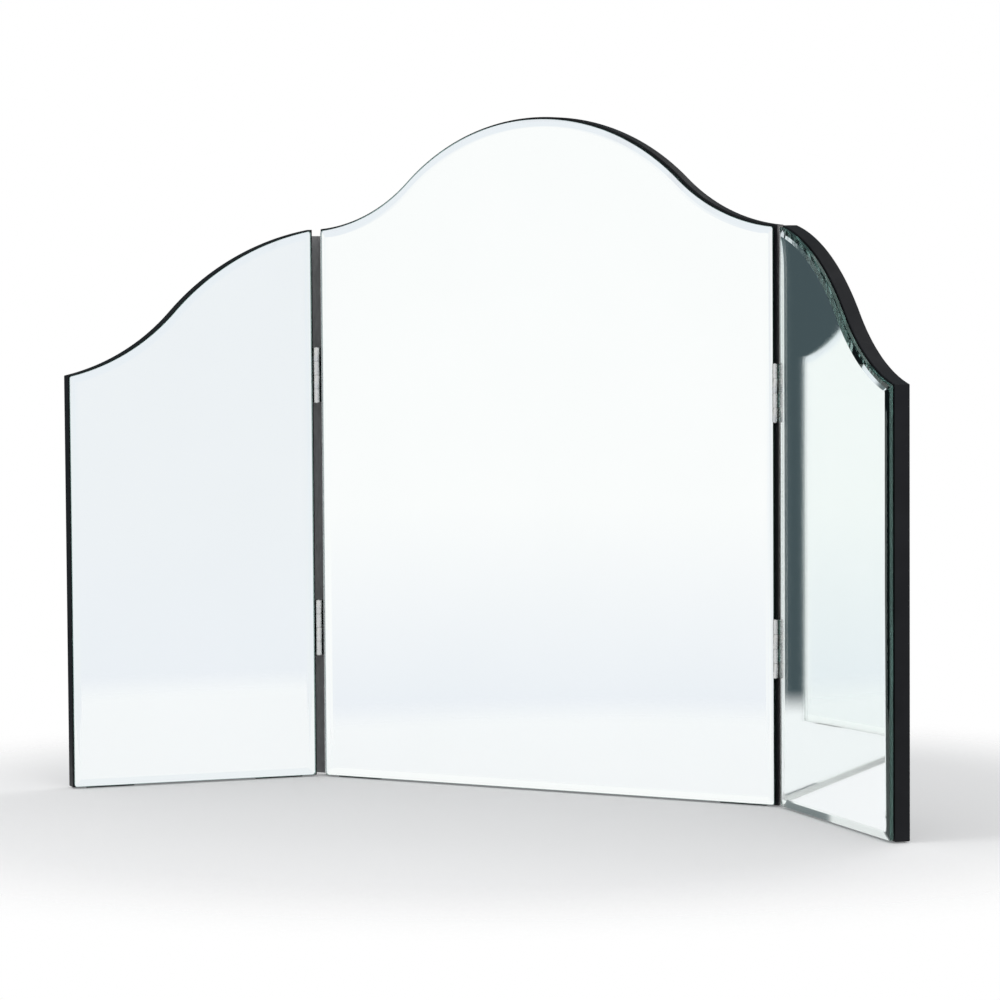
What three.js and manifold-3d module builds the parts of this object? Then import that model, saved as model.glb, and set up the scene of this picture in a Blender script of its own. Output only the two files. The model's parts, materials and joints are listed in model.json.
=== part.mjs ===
// Tabletop makeup mirror. Three frameless mirror panes with bevelled edges are taped to black
// backboards, and butt hinges at the two joints let the outer panels, the wings, swing forward.
//
// Millimetres, +Z up, the mirror faces -Y and stands on Z = 0. The origin is the middle of its
// footprint. Each panel is drawn flat in a group of its own: X runs along the panel, Y = 0 is the
// plane of the hinge pins, and +Y goes back through the glass and the board.

import * as THREE from 'three';
import { mergeVertices } from 'three/addons/utils/BufferGeometryUtils.js';
import Module from 'manifold-3d';

const wasm = await Module();
wasm.setup();

// Mirror panes. The joint height is that of the panes' top corners beside the joints, above the
// table. The arch rises above it and the wings' outer corners lie below it.
const CENTRE_PANE_WIDTH = 412;
const JOINT_HEIGHT = 450;
const CENTRE_ARCH_RISE = 87;
const WING_TOP_FALL = 116;
const GLASS_THICKNESS = 4;
const BEVEL_WIDTH = 6;
const BEVEL_DEPTH = 1.2;
const GLASS_CORNER_RADIUS = 2;

// Curves of the top edges: a crown that turns down into a hollow shoulder.
const CENTRE_SHOULDER_RADIUS = 139;
const CENTRE_END_SLOPE = THREE.MathUtils.degToRad(5.6);
const WING_SHOULDER_RADIUS = 167;
const WING_START_SLOPE = THREE.MathUtils.degToRad(10.8);
const WING_END_SLOPE = THREE.MathUtils.degToRad(12.2);

// Backboards, a little larger than the glass on their free edges, and most along the arch.
const BOARD_THICKNESS = 12;
const BOARD_RIM = 0.8;
const CENTRE_TOP_RIM = 1.8;

// Mounting tape between glass and board, and the gap that two seated pieces keep.
const TAPE_THICKNESS = 0.4;
const TAPE_WIDTH = 25;
const TAPE_END_MARGIN = 30;
const TAPE_SIDE_MARGIN = 40;
const SEAT_GAP = 0.3;

// How far the wings stand folded, and the gap between their edges when they are folded shut.
const LEFT_FOLD_ANGLE = THREE.MathUtils.degToRad(50);
const RIGHT_FOLD_ANGLE = THREE.MathUtils.degToRad(41.2);
const CLOSED_WINGS_GAP = 1.4;

// Butt hinges. The pins stand in front of the glass by the standoff. The leaf gap is that between
// the two leaves with the wings opened flat, and the leaves stand out of their recesses.
const PIN_STANDOFF = 1.25;
const PIN_DIAMETER = 2;
const PIN_CLEARANCE = 0.05;
const PIN_HEAD_OVERHANG = 0.6;
const PIN_HEAD_THICKNESS = 0.5;
const KNUCKLE_WALL = 1.15;
const KNUCKLE_TO_PANE = 0.8;
const HINGE_LENGTH = 45;
const KNUCKLE_COUNT = 4;
const KNUCKLE_GAP = 0.2;
const LEAF_THICKNESS = 1;
const LEAF_GAP = 0.8;
const LEAF_PROUD = 0.4;
const LEAF_TO_REBATE = 1.15;

// Cover strips behind the joints. A strip is glued into a rebate in the back of the centre board
// and reaches past the pins into a like rebate in the wing's board, where it stops the open wing.
const COVER_STRIP_THICKNESS = 0.8;
const COVER_STRIP_SEAT = 14;
const COVER_STRIP_REACH = 16;
const COVER_STRIP_TOP_FALL = 4;

// Heights of the hinges' middles: the lower ones above the table, the upper ones below the panes'
// top corners.
const LOWER_HINGE_RISE = 124;
const UPPER_HINGE_FALL = { left: 118, right: 128 };

// Countersunk screws that hold a leaf to the edge of its board.
const SCREWS_PER_LEAF = 2;
const SCREW_END_MARGIN = 8.5;
const SCREW_LENGTH = 14;
const SCREW_DIAMETER = 2.2;
const SCREW_HEAD_OVERHANG = 1.1;
const SCREW_TIP_LENGTH = 2.5;
const SCREW_CLEARANCE = 0.15;

// Felt pads under the boards.
const PAD_LENGTH = 40;
const PAD_THICKNESS = 1;
const PAD_SETBACK = 2;
const PAD_END_MARGIN = 12;

// Facets of round pieces and steps of curved edges.
const BARREL_SIDES = 16;
const SCREW_SIDES = 12;
const CROWN_STEPS = 12;
const SHOULDER_STEPS = 8;
const CORNER_STEPS = 3;

// Sizes that follow from the ones above.
const WING_PANE_WIDTH = (CENTRE_PANE_WIDTH - CLOSED_WINGS_GAP) / 2 - BOARD_RIM;
const HALF_CENTRE = CENTRE_PANE_WIDTH / 2;
const BARREL_RADIUS = PIN_DIAMETER / 2 + PIN_CLEARANCE + KNUCKLE_WALL;
const PIN_TO_PANE = BARREL_RADIUS + KNUCKLE_TO_PANE;
const LEAF_FACE = LEAF_GAP / 2;
const LEAF_BACK = LEAF_FACE + LEAF_THICKNESS;
const PIN_TO_BOARD = LEAF_FACE + LEAF_PROUD;
const JOINT_RIM = PIN_TO_PANE - PIN_TO_BOARD;
const BOARD_BOTTOM = PAD_THICKNESS;
const GLASS_BOTTOM = BOARD_BOTTOM + BOARD_RIM;
const GLASS_FRONT = PIN_STANDOFF;
const GLASS_BACK = GLASS_FRONT + GLASS_THICKNESS;
const TAPE_FRONT = GLASS_BACK + SEAT_GAP;
const BOARD_FRONT = TAPE_FRONT + TAPE_THICKNESS + SEAT_GAP;
const BOARD_BACK = BOARD_FRONT + BOARD_THICKNESS;
const REBATE_FLOOR = BOARD_BACK - COVER_STRIP_THICKNESS - SEAT_GAP;
const LEAF_REACH = REBATE_FLOOR - LEAF_TO_REBATE;
const COVER_STRIP_TOP = JOINT_HEIGHT - COVER_STRIP_TOP_FALL;
const SCREW_SETBACK = (BOARD_FRONT + LEAF_REACH) / 2;
const KNUCKLE_LENGTH = (HINGE_LENGTH - (KNUCKLE_COUNT - 1) * KNUCKLE_GAP) / KNUCKLE_COUNT;
const KNUCKLE_PITCH = KNUCKLE_LENGTH + KNUCKLE_GAP;
const SCREW_HEAD_RADIUS = SCREW_DIAMETER / 2 + SCREW_HEAD_OVERHANG;

const FINISHES = {
  mirror: { color: 0xdfe6ea, roughness: 0.03, metalness: 1 },
  board: { color: 0x1e1f22, roughness: 0.55, metalness: 0 },
  tape: { color: 0xe8e8e4, roughness: 0.9, metalness: 0 },
  nickel: { color: 0xc4c6c8, roughness: 0.28, metalness: 1 },
  felt: { color: 0x26262a, roughness: 1, metalness: 0 },
  fibre: { color: 0x6e7073, roughness: 0.8, metalness: 0 },
};

function namedMesh(name, geometry, finish) {
  const mesh = new THREE.Mesh(geometry, new THREE.MeshStandardMaterial(FINISHES[finish]));
  mesh.name = name;
  return mesh;
}

// Joining and cutting of closed solids.
function toSolid(geometry) {
  const bare = geometry.clone();
  bare.deleteAttribute('normal');
  bare.deleteAttribute('uv');
  const merged = mergeVertices(bare);
  return new wasm.Manifold(new wasm.Mesh({
    numProp: 3,
    vertProperties: new Float32Array(merged.attributes.position.array),
    triVerts: new Uint32Array(merged.index.array),
  }));
}

function toGeometry(solid) {
  const mesh = solid.getMesh();
  const geometry = new THREE.BufferGeometry();
  geometry.setAttribute('position', new THREE.BufferAttribute(mesh.vertProperties, 3));
  geometry.setIndex(new THREE.BufferAttribute(mesh.triVerts, 1));
  return geometry;
}

function cutAll(body, cutters) {
  return cutters.reduce((rest, cutter) => rest.subtract(toSolid(cutter)), body);
}

// A box between two corners, and an upright cylinder that stands on a height.
function boxBetween(low, high) {
  const size = high.map((value, axis) => value - low[axis]);
  const middle = high.map((value, axis) => (value + low[axis]) / 2);
  return new THREE.BoxGeometry(...size).translate(...middle);
}

function uprightCylinder(radius, bottom, length) {
  return new THREE.CylinderGeometry(radius, radius, length, BARREL_SIDES)
    .rotateX(Math.PI / 2)
    .translate(0, 0, bottom + length / 2);
}

// The top edge of a panel is two tangent arcs, the crown and the shoulder. Distances run along the
// panel from the edge where the crown starts. The crown's radius is the one that makes them meet.
function topCurve({ width, startHeight, endHeight, startSlope, endSlope, shoulderRadius }) {
  const drop = startHeight - endHeight;
  const reach = width ** 2 + drop ** 2
    + 2 * shoulderRadius * (width * Math.sin(endSlope) - drop * Math.cos(endSlope));
  const fall = shoulderRadius * (1 - Math.cos(endSlope - startSlope))
    + drop * Math.cos(startSlope) - width * Math.sin(startSlope);
  const crownRadius = reach / (2 * fall);
  const crown = new THREE.Vector2(-Math.sin(startSlope), -Math.cos(startSlope))
    .multiplyScalar(crownRadius).add(new THREE.Vector2(0, startHeight));
  const shoulder = new THREE.Vector2(Math.sin(endSlope), Math.cos(endSlope))
    .multiplyScalar(shoulderRadius).add(new THREE.Vector2(width, endHeight));
  const joinSlope = Math.atan2(shoulder.x - crown.x, shoulder.y - crown.y);
  return { crown, crownRadius, shoulder, shoulderRadius, joinSlope };
}

// Points of that edge moved inwards by an inset, between two distances along the panel.
function topPoints(curve, inset, from, to) {
  const crownRadius = curve.crownRadius - inset;
  const shoulderRadius = curve.shoulderRadius + inset;
  const startSlope = Math.asin((from - curve.crown.x) / crownRadius);
  const endSlope = Math.asin((curve.shoulder.x - to) / shoulderRadius);
  const direction = (slope) => new THREE.Vector2(Math.sin(slope), Math.cos(slope));
  const points = [];
  for (let step = 0; step < CROWN_STEPS; step += 1) {
    const slope = THREE.MathUtils.lerp(startSlope, curve.joinSlope, step / CROWN_STEPS);
    points.push(direction(slope).multiplyScalar(crownRadius).add(curve.crown));
  }
  for (let step = 0; step <= SHOULDER_STEPS; step += 1) {
    const slope = THREE.MathUtils.lerp(curve.joinSlope, endSlope, step / SHOULDER_STEPS);
    points.push(direction(slope).multiplyScalar(-shoulderRadius).add(curve.shoulder));
  }
  return points;
}

function topHeight(curve, distance) {
  const { crown, crownRadius, shoulder, shoulderRadius, joinSlope } = curve;
  const join = crown.x + crownRadius * Math.sin(joinSlope);
  if (distance < join) return crown.y + Math.sqrt(crownRadius ** 2 - (distance - crown.x) ** 2);
  return shoulder.y - Math.sqrt(shoulderRadius ** 2 - (distance - shoulder.x) ** 2);
}

const CENTRE_CURVE = topCurve({
  width: HALF_CENTRE,
  startHeight: JOINT_HEIGHT + CENTRE_ARCH_RISE,
  endHeight: JOINT_HEIGHT,
  startSlope: 0,
  endSlope: CENTRE_END_SLOPE,
  shoulderRadius: CENTRE_SHOULDER_RADIUS,
});
const WING_CURVE = topCurve({
  width: WING_PANE_WIDTH,
  startHeight: JOINT_HEIGHT,
  endHeight: JOINT_HEIGHT - WING_TOP_FALL,
  startSlope: WING_START_SLOPE,
  endSlope: WING_END_SLOPE,
  shoulderRadius: WING_SHOULDER_RADIUS,
});

// Outlines run anticlockwise from the bottom corner at the smallest X. Their four corners are
// listed by index. inset is for the free edges and jointInset for the edges beside a hinge.
function centreOutline(inset, jointInset, topInset = inset) {
  const side = HALF_CENTRE - jointInset;
  const bottom = GLASS_BOTTOM + inset;
  const half = topPoints(CENTRE_CURVE, topInset, 0, side);
  const right = half.toReversed();
  const left = half.slice(1).map((point) => new THREE.Vector2(-point.x, point.y));
  const points = [new THREE.Vector2(-side, bottom), new THREE.Vector2(side, bottom), ...right, ...left];
  return { points, corners: [0, 1, 2, points.length - 1] };
}

function wingOutline(side, inset, jointInset) {
  const bottom = GLASS_BOTTOM + inset;
  const inner = jointInset;
  const outer = WING_PANE_WIDTH - inset;
  const top = topPoints(WING_CURVE, inset, inner, outer).toReversed();
  const along = [new THREE.Vector2(inner, bottom), new THREE.Vector2(outer, bottom), ...top];
  const placed = along.map((point) => new THREE.Vector2(side * (PIN_TO_PANE + point.x), point.y));
  const last = placed.length - 1;
  if (side > 0) return { points: placed, corners: [0, 1, 2, last] };
  return { points: placed.toReversed(), corners: [0, last - 2, last - 1, last] };
}

// The same outline with its corners rounded. owners gives, for each point, the sharp one it is from.
function roundedOutline({ points, corners }, radius) {
  const rounded = [];
  const owners = [];
  points.forEach((point, index) => {
    if (!corners.includes(index)) {
      rounded.push(point);
      owners.push(index);
      return;
    }
    const before = points.at(index - 1).clone().sub(point).normalize();
    const after = points[(index + 1) % points.length].clone().sub(point).normalize();
    const halfAngle = Math.acos(THREE.MathUtils.clamp(before.dot(after), -1, 1)) / 2;
    const inward = before.clone().add(after).normalize();
    const centre = inward.multiplyScalar(radius / Math.sin(halfAngle)).add(point);
    const first = before.multiplyScalar(radius / Math.tan(halfAngle)).add(point).sub(centre);
    const last = after.multiplyScalar(radius / Math.tan(halfAngle)).add(point).sub(centre);
    const turn = Math.atan2(first.cross(last), first.dot(last));
    for (let step = 0; step <= CORNER_STEPS; step += 1) {
      const spoke = first.clone().rotateAround(new THREE.Vector2(), turn * (step / CORNER_STEPS));
      rounded.push(spoke.add(centre));
      owners.push(index);
    }
  });
  return { points: rounded, owners };
}

// A pane of glass: flat back, upright polished edge, and a bevel that rises to the flat front.
function bevelledPane(outline, bevelOutline) {
  const { points: edge, owners } = roundedOutline(outline, GLASS_CORNER_RADIUS);
  const face = bevelOutline.points;
  const positions = [];
  edge.forEach((point) => positions.push(point.x, GLASS_BACK, point.y));
  edge.forEach((point) => positions.push(point.x, GLASS_FRONT + BEVEL_DEPTH, point.y));
  face.forEach((point) => positions.push(point.x, GLASS_FRONT, point.y));
  const bevelStart = edge.length;
  const faceStart = 2 * edge.length;
  const triangles = [];
  edge.forEach((_, index) => {
    const next = (index + 1) % edge.length;
    triangles.push(index, bevelStart + index, bevelStart + next, index, bevelStart + next, next);
    const here = faceStart + owners[index];
    const there = faceStart + owners[next];
    triangles.push(bevelStart + index, here, bevelStart + next);
    if (here !== there) triangles.push(bevelStart + next, here, there);
  });
  THREE.ShapeUtils.triangulateShape(edge, []).forEach(([a, b, c]) => triangles.push(a, b, c));
  THREE.ShapeUtils.triangulateShape(face, [])
    .forEach(([a, b, c]) => triangles.push(faceStart + a, faceStart + c, faceStart + b));
  const geometry = new THREE.BufferGeometry();
  geometry.setAttribute('position', new THREE.Float32BufferAttribute(positions, 3));
  geometry.setIndex(triangles.toReversed());
  return geometry;
}

// A backboard blank: the outline stood upright, from the board's front to its back.
function boardBlank({ points }) {
  const upright = { depth: BOARD_THICKNESS, bevelEnabled: false };
  return new THREE.ExtrudeGeometry(new THREE.Shape(points), upright)
    .rotateX(Math.PI / 2)
    .translate(0, BOARD_BACK, 0);
}

// Screw places of a hinge, measured from the hinge's bottom end.
const screwHeights = Array.from({ length: SCREWS_PER_LEAF }, (_, index) => (
  THREE.MathUtils.lerp(SCREW_END_MARGIN, HINGE_LENGTH - SCREW_END_MARGIN, index / (SCREWS_PER_LEAF - 1))
));

// A round profile turned about the axis of a screw. It starts at the leaf's face and runs into the
// board, along X on the side where the leaf is.
function alongScrew(profile, side, height) {
  const points = profile.map(([radius, depth]) => new THREE.Vector2(radius, depth));
  return new THREE.LatheGeometry(points, SCREW_SIDES)
    .rotateZ(-side * Math.PI / 2)
    .translate(side * LEAF_FACE, SCREW_SETBACK, height);
}

function screw(side, height) {
  const shank = SCREW_DIAMETER / 2;
  return alongScrew([
    [0, 0],
    [SCREW_HEAD_RADIUS, 0],
    [shank, LEAF_THICKNESS],
    [shank, SCREW_LENGTH - SCREW_TIP_LENGTH],
    [0, SCREW_LENGTH],
  ], side, height);
}

// The countersunk hole in a leaf keeps the seat gap to the screw, square to the cone's slope.
function countersink(side, height) {
  const slope = SCREW_HEAD_OVERHANG / LEAF_THICKNESS;
  const spread = SEAT_GAP * Math.hypot(1, slope);
  const mouth = SCREW_HEAD_RADIUS + spread;
  const neck = SCREW_DIAMETER / 2 + spread;
  return alongScrew([
    [0, -LEAF_THICKNESS],
    [mouth + slope * LEAF_THICKNESS, -LEAF_THICKNESS],
    [neck, LEAF_THICKNESS],
    [neck, 2 * LEAF_THICKNESS],
    [0, 2 * LEAF_THICKNESS],
  ], side, height);
}

function pilotHole(side, height) {
  const radius = SCREW_DIAMETER / 2 + SCREW_CLEARANCE;
  return alongScrew([
    [0, 0],
    [radius, 0],
    [radius, SCREW_LENGTH - SCREW_TIP_LENGTH],
    [SCREW_CLEARANCE, SCREW_LENGTH + SEAT_GAP],
    [0, SCREW_LENGTH + SEAT_GAP],
  ], side, height);
}

// A recess in the board's edge for one leaf, with the leaf's screw holes.
function hingeCutters(side, pinX, hingeBottom) {
  const floor = LEAF_BACK + SEAT_GAP;
  const low = [Math.min(0, side * floor), BOARD_FRONT - BOARD_THICKNESS, -SEAT_GAP];
  const high = [Math.max(0, side * floor), LEAF_REACH + SEAT_GAP, HINGE_LENGTH + SEAT_GAP];
  const cutters = [boxBetween(low, high), ...screwHeights.map((height) => pilotHole(side, height))];
  return cutters.map((cutter) => cutter.translate(pinX, 0, hingeBottom));
}

// Knuckles are numbered from the bottom. The centre panel's leaf has the even ones.
function hingeLeaf(side, firstKnuckle) {
  const bore = (PIN_DIAMETER / 2 + PIN_CLEARANCE) / Math.cos(Math.PI / BARREL_SIDES);
  const low = [Math.min(side * LEAF_FACE, side * LEAF_BACK), 0, 0];
  const high = [Math.max(side * LEAF_FACE, side * LEAF_BACK), LEAF_REACH, HINGE_LENGTH];
  let leaf = toSolid(boxBetween(low, high));
  const cutters = [uprightCylinder(bore, -KNUCKLE_PITCH, HINGE_LENGTH + 2 * KNUCKLE_PITCH)];
  for (let knuckle = 0; knuckle < KNUCKLE_COUNT; knuckle += 1) {
    const bottom = knuckle * KNUCKLE_PITCH;
    if (knuckle % 2 === firstKnuckle) {
      leaf = leaf.add(toSolid(uprightCylinder(BARREL_RADIUS, bottom, KNUCKLE_LENGTH)));
    } else {
      const room = KNUCKLE_LENGTH + 2 * KNUCKLE_GAP;
      cutters.push(uprightCylinder(BARREL_RADIUS + SEAT_GAP, bottom - KNUCKLE_GAP, room));
    }
  }
  cutters.push(...screwHeights.map((height) => countersink(side, height)));
  return toGeometry(cutAll(leaf, cutters));
}

// The pin runs through every knuckle and has a low chamfered head at each end.
function hingePin() {
  const radius = PIN_DIAMETER / 2;
  const head = radius + PIN_HEAD_OVERHANG;
  const chamfer = PIN_HEAD_THICKNESS / 2;
  const half = [
    [radius, HINGE_LENGTH / 2 + KNUCKLE_GAP],
    [head, HINGE_LENGTH / 2 + KNUCKLE_GAP],
    [head, HINGE_LENGTH / 2 + KNUCKLE_GAP + PIN_HEAD_THICKNESS - chamfer],
    [head - chamfer, HINGE_LENGTH / 2 + KNUCKLE_GAP + PIN_HEAD_THICKNESS],
    [0, HINGE_LENGTH / 2 + KNUCKLE_GAP + PIN_HEAD_THICKNESS],
  ];
  const upper = half.map(([distance, height]) => new THREE.Vector2(distance, height));
  const lower = half.toReversed().map(([distance, height]) => new THREE.Vector2(distance, -height));
  return new THREE.LatheGeometry([...lower, ...upper], BARREL_SIDES)
    .rotateX(Math.PI / 2)
    .translate(0, 0, HINGE_LENGTH / 2);
}

// A strip of tape behind the glass. It runs from the bottom margin to the same margin below the
// lower of the pane's heights at the strip's two edges. along is its place on the top curve.
function tapeStrip(x, curve, along) {
  const edges = [along - TAPE_WIDTH / 2, along + TAPE_WIDTH / 2];
  const lowest = Math.min(...edges.map((edge) => topHeight(curve, edge)));
  return boxBetween(
    [x - TAPE_WIDTH / 2, TAPE_FRONT, GLASS_BOTTOM + TAPE_END_MARGIN],
    [x + TAPE_WIDTH / 2, TAPE_FRONT + TAPE_THICKNESS, lowest - TAPE_END_MARGIN],
  );
}

function pad(x) {
  return boxBetween(
    [x - PAD_LENGTH / 2, BOARD_FRONT + PAD_SETBACK, 0],
    [x + PAD_LENGTH / 2, BOARD_BACK - PAD_SETBACK, PAD_THICKNESS],
  );
}

// The cover strip of the joint on one side, measured from that joint's pins.
function coverStrip(side) {
  const seatEnd = -side * (PIN_TO_BOARD + COVER_STRIP_SEAT);
  const freeEnd = side * COVER_STRIP_REACH;
  return boxBetween(
    [Math.min(seatEnd, freeEnd), BOARD_BACK - COVER_STRIP_THICKNESS, BOARD_BOTTOM],
    [Math.max(seatEnd, freeEnd), BOARD_BACK, COVER_STRIP_TOP],
  );
}

// The rebate for a strip's end in the back of the board on one side of a pin. It is open below.
function stripRebate(side, pinX, length) {
  const wall = side * (length + SEAT_GAP);
  const low = [Math.min(0, wall), REBATE_FLOOR, 0];
  const high = [Math.max(0, wall), BOARD_BACK + COVER_STRIP_THICKNESS, COVER_STRIP_TOP + SEAT_GAP];
  return boxBetween(low, high).translate(pinX, 0, 0);
}

const hingeBottoms = (sideName) => ({
  lower: LOWER_HINGE_RISE - HINGE_LENGTH / 2,
  upper: JOINT_HEIGHT - UPPER_HINGE_FALL[sideName] - HINGE_LENGTH / 2,
});
const TAPE_REACH = TAPE_SIDE_MARGIN + TAPE_WIDTH / 2;
const PAD_REACH = PAD_END_MARGIN + PAD_LENGTH / 2;

// One leaf with its screws, placed at a pin of the panel it is screwed to.
function leafWithScrews(hingeName, owner, side, firstKnuckle, pinX, bottom) {
  const leaf = namedMesh(`${hingeName}_${owner}_leaf`, hingeLeaf(side, firstKnuckle), 'nickel');
  const screws = screwHeights.map((height, index) => (
    namedMesh(`${hingeName}_${owner}_screw_${index + 1}`, screw(side, height), 'nickel')
  ));
  const pieces = [leaf, ...screws];
  pieces.forEach((piece) => piece.position.set(pinX, 0, bottom));
  return pieces;
}

// Centre panel, with its half of all four hinges, the pins and the cover strips.
const PIN_X = HALF_CENTRE + PIN_TO_PANE;
const SIDES = { left: -1, right: 1 };

function centrePanel() {
  const panel = new THREE.Group();
  const cutters = [];
  Object.entries(SIDES).forEach(([sideName, side]) => {
    Object.entries(hingeBottoms(sideName)).forEach(([level, bottom]) => {
      const hingeName = `${level}_${sideName}_hinge`;
      const pin = namedMesh(`${hingeName}_pin`, hingePin(), 'nickel');
      pin.position.set(side * PIN_X, 0, bottom);
      panel.add(pin, ...leafWithScrews(hingeName, 'centre', -side, 0, side * PIN_X, bottom));
      cutters.push(...hingeCutters(-side, side * PIN_X, bottom));
    });
    const strip = namedMesh(`${sideName}_joint_cover_strip`, coverStrip(side), 'fibre');
    strip.position.x = side * PIN_X;
    panel.add(strip);
    cutters.push(stripRebate(-side, side * PIN_X, PIN_TO_BOARD + COVER_STRIP_SEAT));
  });
  const blank = toSolid(boardBlank(centreOutline(-BOARD_RIM, -JOINT_RIM, -CENTRE_TOP_RIM)));
  panel.add(namedMesh('centre_backboard', toGeometry(cutAll(blank, cutters)), 'board'));
  const pane = bevelledPane(centreOutline(0, 0), centreOutline(BEVEL_WIDTH, BEVEL_WIDTH));
  panel.add(namedMesh('centre_mirror_glass', pane, 'mirror'));
  Object.entries({ left: -1, middle: 0, right: 1 }).forEach(([place, direction]) => {
    const x = direction * (HALF_CENTRE - TAPE_REACH);
    const strip = tapeStrip(x, CENTRE_CURVE, Math.abs(x));
    panel.add(namedMesh(`centre_${place}_mounting_tape`, strip, 'tape'));
  });
  Object.entries(SIDES).forEach(([sideName, side]) => {
    const x = side * (HALF_CENTRE + JOINT_RIM - PAD_REACH);
    panel.add(namedMesh(`centre_${sideName}_pad`, pad(x), 'felt'));
  });
  return panel;
}

// A wing panel. Its group turns about the pins, which are at its X = 0, Y = 0.
function wingPanel(sideName, side, foldAngle) {
  const panel = new THREE.Group();
  const cutters = [];
  Object.entries(hingeBottoms(sideName)).forEach(([level, bottom]) => {
    const hingeName = `${level}_${sideName}_hinge`;
    panel.add(...leafWithScrews(hingeName, 'wing', side, 1, 0, bottom));
    cutters.push(...hingeCutters(side, 0, bottom));
  });
  cutters.push(stripRebate(side, 0, COVER_STRIP_REACH));
  const blank = toSolid(boardBlank(wingOutline(side, -BOARD_RIM, -JOINT_RIM)));
  panel.add(namedMesh(`${sideName}_backboard`, toGeometry(cutAll(blank, cutters)), 'board'));
  const pane = bevelledPane(wingOutline(side, 0, 0), wingOutline(side, BEVEL_WIDTH, BEVEL_WIDTH));
  panel.add(namedMesh(`${sideName}_mirror_glass`, pane, 'mirror'));
  const tapePlaces = { inner: TAPE_REACH, outer: WING_PANE_WIDTH - TAPE_REACH };
  Object.entries(tapePlaces).forEach(([place, along]) => {
    const strip = tapeStrip(side * (PIN_TO_PANE + along), WING_CURVE, along);
    panel.add(namedMesh(`${sideName}_${place}_mounting_tape`, strip, 'tape'));
  });
  const outerEdge = PIN_TO_PANE + WING_PANE_WIDTH + BOARD_RIM;
  const padPlaces = { inner: PIN_TO_BOARD + PAD_REACH, outer: outerEdge - PAD_REACH };
  Object.entries(padPlaces).forEach(([place, x]) => {
    panel.add(namedMesh(`${sideName}_${place}_pad`, pad(side * x), 'felt'));
  });
  panel.position.x = side * PIN_X;
  panel.rotation.z = -side * foldAngle;
  return panel;
}

const mirror = new THREE.Group();
mirror.add(centrePanel());
mirror.add(wingPanel('left', SIDES.left, LEFT_FOLD_ANGLE));
mirror.add(wingPanel('right', SIDES.right, RIGHT_FOLD_ANGLE));

// The origin goes to the middle of the footprint.
const footprint = new THREE.Box3().setFromObject(mirror, true);
mirror.position.x = -(footprint.min.x + footprint.max.x) / 2;
mirror.position.y = -(footprint.min.y + footprint.max.y) / 2;

export default mirror;
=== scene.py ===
import json
import math

import bmesh
import bpy
from mathutils import Matrix, Vector

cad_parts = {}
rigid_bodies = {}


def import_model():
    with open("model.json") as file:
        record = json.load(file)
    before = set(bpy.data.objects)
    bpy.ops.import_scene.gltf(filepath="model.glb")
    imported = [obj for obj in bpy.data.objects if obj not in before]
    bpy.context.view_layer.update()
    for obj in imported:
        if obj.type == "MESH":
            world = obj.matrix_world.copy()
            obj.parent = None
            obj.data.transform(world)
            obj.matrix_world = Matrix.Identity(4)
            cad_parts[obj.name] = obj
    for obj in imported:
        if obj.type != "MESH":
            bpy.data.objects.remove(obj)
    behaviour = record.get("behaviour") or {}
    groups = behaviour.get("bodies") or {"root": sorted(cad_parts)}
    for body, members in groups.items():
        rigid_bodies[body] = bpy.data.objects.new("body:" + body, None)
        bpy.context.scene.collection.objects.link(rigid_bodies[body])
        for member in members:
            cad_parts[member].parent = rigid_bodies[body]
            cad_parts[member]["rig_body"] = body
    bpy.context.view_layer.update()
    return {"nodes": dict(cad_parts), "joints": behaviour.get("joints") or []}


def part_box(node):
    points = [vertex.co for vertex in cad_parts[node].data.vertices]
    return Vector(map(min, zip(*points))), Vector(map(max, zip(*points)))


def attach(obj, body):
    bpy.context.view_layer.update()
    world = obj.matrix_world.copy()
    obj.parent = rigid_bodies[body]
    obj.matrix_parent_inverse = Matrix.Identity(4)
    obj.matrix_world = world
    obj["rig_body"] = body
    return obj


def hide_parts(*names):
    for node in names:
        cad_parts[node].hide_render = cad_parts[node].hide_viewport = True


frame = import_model()

# The three panels stand on the table, joined by two upright hinge lines. Each panel is drawn flat:
# X runs along it, Y = 0 is the plane of the hinge pins and +Y goes back. It is then put in its
# place, the centre panel straight and each wing turned forward about its pins.
SIDES = {"left": -1, "right": 1}
BODIES = {"centre": "centre_panel", "left": "left_wing", "right": "right_wing"}
joints = {joint["child"]: joint for joint in frame["joints"]}
pin_lines = {side: Vector(joints[BODIES[side]]["pos_m"]) for side in SIDES}
centre_middle = (pin_lines["left"] + pin_lines["right"]) / 2
places = {"centre": Matrix.Translation((centre_middle.x, centre_middle.y, 0))}
for side, sign in SIDES.items():
    fold = math.radians(-joints[BODIES[side]]["range_deg"][0])
    stand = Matrix.Translation((pin_lines[side].x, pin_lines[side].y, 0))
    places[side] = stand @ Matrix.Rotation(-sign * fold, 4, "Z")


def in_scene(name, data):
    """A new object, linked to the scene."""
    thing = bpy.data.objects.new(name, data)
    bpy.context.scene.collection.objects.link(thing)
    return thing


def show(name, mesh, body, nodes):
    """Puts a finished mesh in the scene as a piece that stands for these nodes of the frame."""
    piece = in_scene(name, mesh)
    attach(piece, body)
    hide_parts(*nodes)


def made_by(carrier):
    """The plain mesh that the modifiers of a passing object make. The object is then removed."""
    depsgraph = bpy.context.evaluated_depsgraph_get()
    result = bpy.data.meshes.new_from_object(carrier.evaluated_get(depsgraph), depsgraph=depsgraph)
    bpy.data.objects.remove(carrier)
    return result


def applied(mesh, kind, **settings):
    """The plain mesh that one modifier makes of a mesh."""
    carrier = in_scene("carrier", mesh)
    modifier = carrier.modifiers.new("step", kind)
    for setting, value in settings.items():
        setattr(modifier, setting, value)
    return made_by(carrier)


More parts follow.
